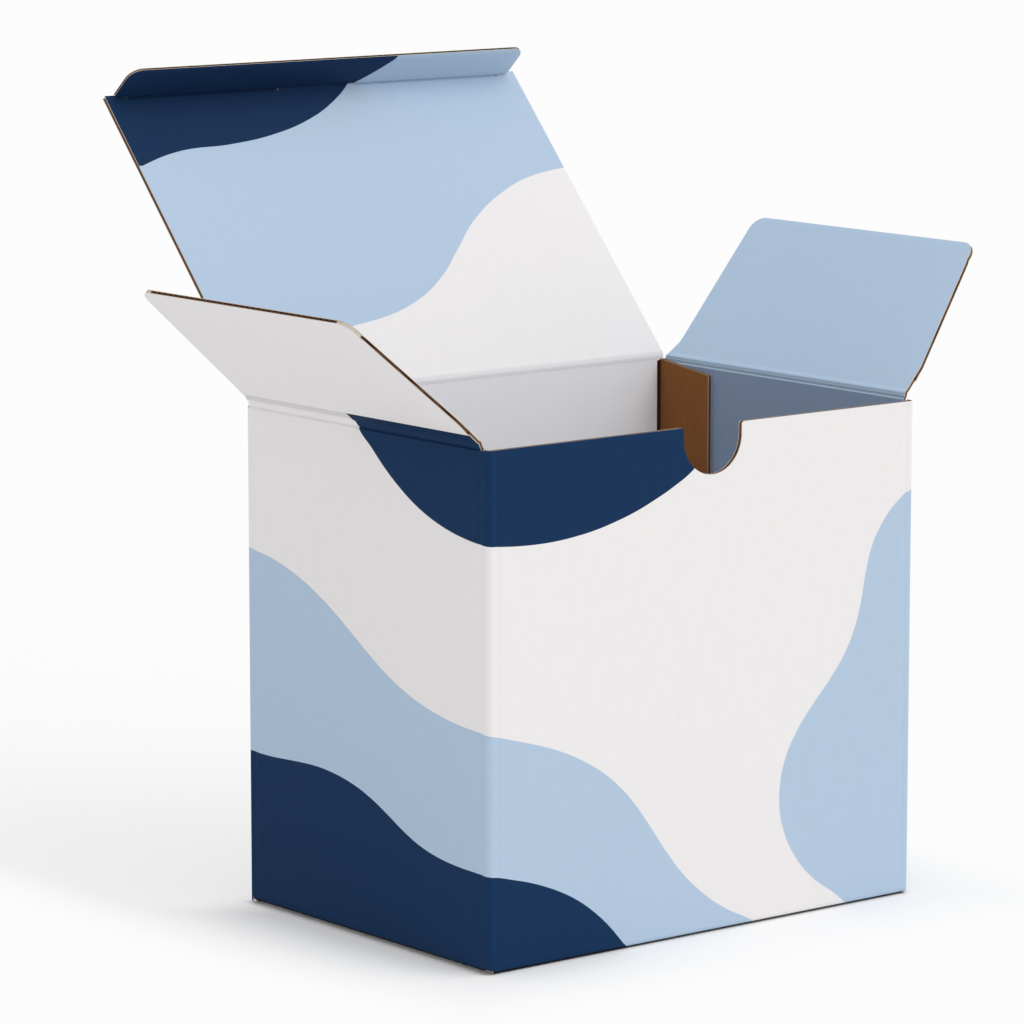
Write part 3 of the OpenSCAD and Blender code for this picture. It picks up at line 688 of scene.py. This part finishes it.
# A dust flap and the crease strip that joins it to its wall
def makeDustFlap(name, fold, body, node, cornerSlot):
    f, inset = dustFlap, board["recess"]
    r, centreV = f["corner"], f["length"] - f["corner"]
    arcV = centreV + r * np.sin(np.radians(np.linspace(*f["cornerRows"])))
    start = fold["seatEnd"]
    rows = np.concatenate([[start, start + 1], f["nearRows"], np.linspace(*f["farRows"]), arcV])
    front, back = dustFlapSides(rows)
    share = np.linspace(0, 1, f["columns"])[None, :]
    along = front[:, None] + (back - front)[:, None] * share
    sheets = linersOf(along, rows[:, None] + 0 * along, 0, 3, 1, 2)
    coreRows = np.concatenate([[start + f["coreStart"]], rows[2:-1], [f["length"] - inset]])
    coreRows = np.unique(np.minimum(coreRows, f["length"] - inset))
    front, back = dustFlapSides(coreRows)
    fine = np.linspace(0, 1, f["coreColumns"])[None, :]
    coreU = front[:, None] + inset + (back - front - 2 * inset)[:, None] * fine
    sheets.append(mediumOf(coreU, coreRows[:, None] + 0 * coreU, 2))
    frontU = dustFlapSides(np.array([centreV]))[0][0] + r
    sheets.append(pressedCorner(frontU, centreV, r, -1, cornerSlot))
    sheets.append(pressedCorner(f["back"] - r, centreV, r, 1, cornerSlot))
    place = foldPlace(fold)

    def thinned(p):
        front, back = dustFlapSides(p[..., 1])
        fromEdge = np.min([f["length"] - p[..., 1], p[..., 0] - front, back - p[..., 0]], axis=0)
        fromEdge = np.where(p[..., 1] < start + f["fullFor"], knife["pressed"], fromEdge)
        return place(pressedEdge(p, fromEdge, f["edge"]))

    # The flap's inside, slot 3, is the pale blue lightened as painted light
    piece = makePiece(name, sheets, thinned, [whiteLiner, cutLiner, flutedPaper, blueLiner])
    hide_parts(node)
    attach(piece, body)
    side = -1 if fold["out"][0] < 0 else 1
    skins = creaseStrip(f["front"], f["creaseBack"], fold, sideSection, lean=f["creaseLean"])
    # The crease's slots 4 to 7 are painted shade, and slot 3 is the flaps' blue with painted light
    strip = makePiece(name + "Crease", skins, place,
                      [outsidePrint, cutLiner, flutedPaper, blueLiner, shadedLiner, seatPrintPaintedShade, seatBluePaintedShade,
                       seatEdgeBluePaintedShade],
                      lambda p: np.stack([side * (sideMid + p[..., 0]), p[..., 1] + fold["origin"][2],
                                          p[..., 2]], -1))
    bendBetween(strip, fold)


# Lid: corner tabs past the slits, a short tongue in the middle of its front fold
lidPanel = {"half": 97.9, "slit": 9.0, "tab": 0.6, "tongue": 17.5, "tongueReach": 1.0, "columns": 60,
            "nearRows": (4, 8), "farRows": (14, 130, 14), "coreRows": (50.0, 100.0, 130.0), "coreStart": 1}


# The slits and the tongue's ends across the lid's front fold, each further in or out by a gap
def slitsAt(gap=0.0):
    tabU = lidPanel["half"] - lidPanel["slit"] - gap
    return tabU, lidPanel["tongue"] + lidPanel["tongueReach"] + gap


# How far the lid reaches from its fold: past the front fold at the corner tabs and at the
# tongue, whose sides slant, and up to the crease between them
def lidEnd(u):
    p, off = lidPanel, np.abs(u)
    tabU, tongueU = slitsAt()
    slant = tuckAt + p["tongueReach"] - np.clip(off - p["tongue"], 0, None)
    return np.select([off > tabU, off < tongueU], [tuckAt + p["tab"], slant],
                     tuckAt + tuckFold["crease"][0])


# The lid and the crease strip that joins it to the back wall
def makeLid():
    p, inset = lidPanel, board["recess"]
    tabU, tongueU = slitsAt()
    cuts = [-tabU, -tongueU, tongueU, tabU]
    u = columns([np.linspace(-p["half"], p["half"], p["columns"]), [-p["tongue"], p["tongue"]]],
                cuts)[None, :]
    start = lidFold["crease"][1]
    rows = np.concatenate([[start], p["nearRows"], np.linspace(*p["farRows"])])[:, None] + 0 * u
    away = np.concatenate([rows, lidEnd(u)])
    sheets = linersOf(u + 0 * away, away, 0, 3, 1, 2)
    fine = columns([np.arange(inset - p["half"], p["half"] - inset,
                              board["flutePitch"] / board["flutePoints"])], cuts)[None, :]
    end = np.minimum(lidEnd(fine - inset), lidEnd(fine + inset)) - inset
    coreRows = np.concatenate([[start + p["coreStart"]], p["coreRows"]])[:, None] + 0 * fine
    coreRows = np.concatenate([coreRows, end])
    sheets.append(mediumOf(fine + 0 * coreRows, coreRows, 2))
    piece = makePiece("lidPanel", sheets, foldPlace(lidFold),
                      [lidOutsidePrint, cutLiner, flutedPaper, lidInsidePrint])
    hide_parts("lid")
    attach(piece, "lid")
    skins = creaseStrip(-p["half"], p["half"], lidFold, lidSection)
    strip = makePiece("lidCrease", skins, foldPlace(lidFold),
                      [whiteLiner, cutLiner, flutedPaper, whiteLiner, innerLiner])
    bendBetween(strip, lidFold)


# Tuck flap: sides that draw in a little and two round corners
tuckPanel = {"length": 17.0, "half": 94.4, "drawIn": 0.2, "corner": 5.5, "gap": 0.3, "startTab": 1.7,
             "startTongue": 1.6, "edge": 0.5, "rows": (3.2, 6, 9), "cornerRows": 16, "columns": 60,
             "coreColumns": 580, "creaseColumns": 30}


# Where the flap begins, from its fold: past the slits at the tabs and the tongue, and at the
# crease between them
def tuckStart(u):
    p, off = tuckPanel, np.abs(u)
    tabU, tongueU = slitsAt(p["gap"])
    return np.select([off > tabU, off < tongueU], [p["startTab"], p["startTongue"]], tuckFold["crease"][1])


# Half the flap's width at a distance from its fold: it draws in evenly, then by a quarter circle
def tuckHalf(v):
    p = tuckPanel
    centreV = p["length"] - p["corner"]
    arc = np.sqrt(np.clip(p["corner"] ** 2 - (v - centreV) ** 2, 0, None))
    return np.where(v > centreV, p["half"] - p["drawIn"] - p["corner"] + arc,
                    p["half"] - p["drawIn"] * v / centreV)


# The tuck flap and the two crease strips that join it to the lid, to both sides of the tongue
def makeTuck():
    p, inset, place = tuckPanel, board["recess"], foldPlace(tuckFold)
    tabU, tongueU = slitsAt(p["gap"])
    centreV = p["length"] - p["corner"]
    arcV = centreV + p["corner"] * np.sin(np.radians(np.linspace(0, 90, p["cornerRows"])))
    rows = np.concatenate([p["rows"], arcV])

    def grid(u, rows, first):
        half = tuckHalf(rows)[:, None]
        body = u * half / p["half"]
        return np.concatenate([u, body]), np.concatenate([first, rows[:, None] + 0 * body])

    def inLid(q):
        return np.stack([q[..., 0], q[..., 1] + tuckAt, q[..., 2]], -1)

    def thinned(q):
        fromEdge = np.minimum(p["length"] - q[..., 1], tuckHalf(q[..., 1]) - np.abs(q[..., 0]))
        return place(pressedEdge(q, fromEdge, p["edge"]))

    u = columns([np.linspace(-p["half"], p["half"], p["columns"])],
                [-tabU, -tongueU, tongueU, tabU])[None, :]
    along, away = grid(u, rows, tuckStart(u))
    sheets = linersOf(along, away, 0, 3, 1, 2)
    fine = np.linspace(inset - p["half"], p["half"] - inset, p["coreColumns"])[None, :]
    coreRows = np.unique(np.minimum(rows, p["length"] - inset))
    coreU, coreV = grid(fine, coreRows, tuckStart(fine) + inset)
    sheets.append(mediumOf(coreU, coreV, 2))
    for side in (-1, 1):
        centreU = side * (p["half"] - p["drawIn"] - p["corner"])
        sheets.append(pressedCorner(centreU, centreV, p["corner"], side, 2))
    materials = [lidOutsidePrint, cutLiner, flutedPaper, lidInsidePrint, tuckFoldPaintedShade]
    piece = makePiece("tuckPanel", sheets, thinned, materials, inLid)
    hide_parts("tuck_flap")
    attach(piece, "tuck")
    for name, low, high in (("tuckCreaseLeft", -tabU, -tongueU), ("tuckCreaseRight", tongueU, tabU)):
        skins = creaseStrip(low, high, tuckFold, tuckSection, p["creaseColumns"])
        strip = makePiece(name, skins, place, materials, inLid)
        bendBetween(strip, tuckFold)


makeWalls()
makeBottom()
makeDustFlap("leftDustPanel", leftFold, "left_flap", "left_dust_flap", 1)
makeDustFlap("rightDustPanel", rightFold, "right_flap", "right_dust_flap", 2)
makeLid()
makeTuck()


# The unit vector from the carton towards a point at these angles, in degrees
def towards(azimuth, height):
    a, e = math.radians(azimuth), math.radians(height)
    return np.array([math.sin(a) * math.cos(e), -math.cos(a) * math.cos(e), math.sin(e)])


# Studio: one pale floor, a soft sun from the right and a white sky. For the camera the floor is mixed
# with a white glow, painted light that thins the box's real shadow, by its distance from the box in
# metres: by nearFill past nearTo, and then more, up to floorFill. At the back the fill begins
# behindFrom millimetres from the middle and rises no further than it does at behindMost beside the box.
studio = {"floorHalf": 30.0, "floor": "#F6F6F6", "floorFill": 0.95, "fillFrom": -0.012, "fillTo": 0.07,
          "nearFill": 0.14, "nearTo": 0.0028, "behindRate": 0.9, "behindFrom": 41.7, "behindMost": 0.036,
          "glow": 0.98, "skyLight": 0.80, "sunStrength": 0.97, "sunSoftness": 50.0,
          "sunAzimuth": 30.0, "sunHeight": 50.0}


def makeStudio():
    half = studio["floorHalf"]
    mesh = bpy.data.meshes.new("paleFloor")
    mesh.from_pydata([(-half, -half, 0), (half, -half, 0), (half, half, 0), (-half, half, 0)], [],
                     [(0, 1, 2, 3)])
    floor = bpy.data.objects.new("paleFloor", mesh)
    bpy.context.scene.collection.objects.link(floor)
    material = bpy.data.materials.new("paleFloorWithPaintedGlow")
    material.use_nodes = True
    tree = material.node_tree
    tree.nodes.clear()
    where = addNode(tree, "ShaderNodeTexCoord")
    split = addNode(tree, "ShaderNodeSeparateXYZ", {}, {0: where.outputs["Object"]})
    # The painted glow below grows with these distances
    # How far a point lies beyond the left, right, front and back walls, and the slower rise at the back
    rate = studio["behindRate"]
    left, right, front, back, rise = (
        addNode(tree, "ShaderNodeMath", {"operation": "MULTIPLY_ADD"},
                {0: split.outputs[axis], 1: factor, 2: -start * mm}).outputs[0]
        for axis, factor, start in ((0, -1, halfW), (0, 1, halfW), (1, -1, halfD), (1, 1, halfD),
                                    (1, rate, rate * studio["behindFrom"])))
    behind = addNode(tree, "ShaderNodeMath", {"operation": "MINIMUM"}, {0: rise, 1: studio["behindMost"]})
    farthest = []
    for last in (behind.outputs[0], back):
        far = left
        for one in (right, front, last):
            far = addNode(tree, "ShaderNodeMath", {"operation": "MAXIMUM"}, {0: one, 1: far}).outputs[0]
        farthest.append(far)
    reach, edge = farthest
    ramp, gate = [addNode(tree, "ShaderNodeMapRange", {"interpolation_type": "SMOOTHSTEP"},
                          {"Value": value, "From Min": first, "From Max": last, "To Min": 0.0,
                           "To Max": most}).outputs[0]
                  for value, first, last, most in
                  ((reach, studio["fillFrom"], studio["fillTo"], studio["floorFill"]),
                   (edge, 0.0, studio["nearTo"], 1.0))]
    least = addNode(tree, "ShaderNodeMath", {"operation": "MAXIMUM"}, {0: ramp, 1: studio["nearFill"]})
    away = addNode(tree, "ShaderNodeMath", {"operation": "MULTIPLY"}, {0: least.outputs[0], 1: gate})
    ray = addNode(tree, "ShaderNodeLightPath")
    fill = addNode(tree, "ShaderNodeMath", {"operation": "MULTIPLY"},
                   {0: ray.outputs["Is Camera Ray"], 1: away.outputs[0]})
    matt = addNode(tree, "ShaderNodeBsdfDiffuse", {}, {"Color": srgb(studio["floor"])})
    # painted light: the floor glows white for camera rays, more with distance from the box
    glow = addNode(tree, "ShaderNodeEmission", {}, {"Color": (1, 1, 1, 1), "Strength": studio["glow"]})
    shader = addNode(tree, "ShaderNodeMixShader", {},
                     {0: fill.outputs[0], 1: matt.outputs[0], 2: glow.outputs[0]})
    addNode(tree, "ShaderNodeOutputMaterial", {}, {"Surface": shader.outputs[0]})
    mesh.materials.append(material)
    world = bpy.data.worlds.new("studioSky")
    bpy.context.scene.world = world
    world.use_nodes = True
    tree = world.node_tree
    tree.nodes.clear()
    ray = addNode(tree, "ShaderNodeLightPath")
    strength = addNode(tree, "ShaderNodeMapRange", {}, {"Value": ray.outputs["Is Camera Ray"],
                                                        "To Min": studio["skyLight"], "To Max": 1.0})
    sky = addNode(tree, "ShaderNodeBackground", {}, {"Color": (1, 1, 1, 1), "Strength": strength.outputs[0]})
    addNode(tree, "ShaderNodeOutputWorld", {}, {"Surface": sky.outputs[0]})
    lamp = bpy.data.lights.new("softSun", "SUN")
    lamp.energy = studio["sunStrength"]
    lamp.angle = math.radians(studio["sunSoftness"])
    sun = bpy.data.objects.new("softSun", lamp)
    toSun = towards(studio["sunAzimuth"], studio["sunHeight"])
    side = np.cross([0, 0, 1], toSun)
    side /= np.linalg.norm(side)
    axes = np.stack([side, np.cross(toSun, side), toSun], 1)
    sun.matrix_world = Matrix(axes.tolist()).to_4x4()
    bpy.context.scene.collection.objects.link(sun)


# Camera at the photograph's angle: it looks along -back, from a point given in its own axes
view = {"azimuth": -38.7399, "elevation": 9.2651, "right": -25.3436, "up": 142.894, "distance": 1906.4381,
        "focal": 5139.0567, "frame": 1024, "sensor": 36.0, "clip": (0.1, 100.0)}


def makeCamera():
    a = math.radians(view["azimuth"])
    back = towards(view["azimuth"], view["elevation"])
    right = np.array([math.cos(a), math.sin(a), 0.0])
    up = np.cross(back, right)
    place = (right * view["right"] + up * view["up"] + back * view["distance"]) * mm
    data = bpy.data.cameras.new("camera")
    data.sensor_width = view["sensor"]
    data.lens = view["focal"] / view["frame"] * view["sensor"]
    data.clip_start, data.clip_end = view["clip"]
    camera = bpy.data.objects.new("camera", data)
    rows = np.stack([right, up, back, place], 1).tolist()
    camera.matrix_world = Matrix(rows + [[0, 0, 0, 1]])
    bpy.context.scene.collection.objects.link(camera)
    bpy.context.scene.camera = camera


makeStudio()
makeCamera()
bpy.context.scene.view_settings.view_transform = "Standard"
print("studio and camera are in place")
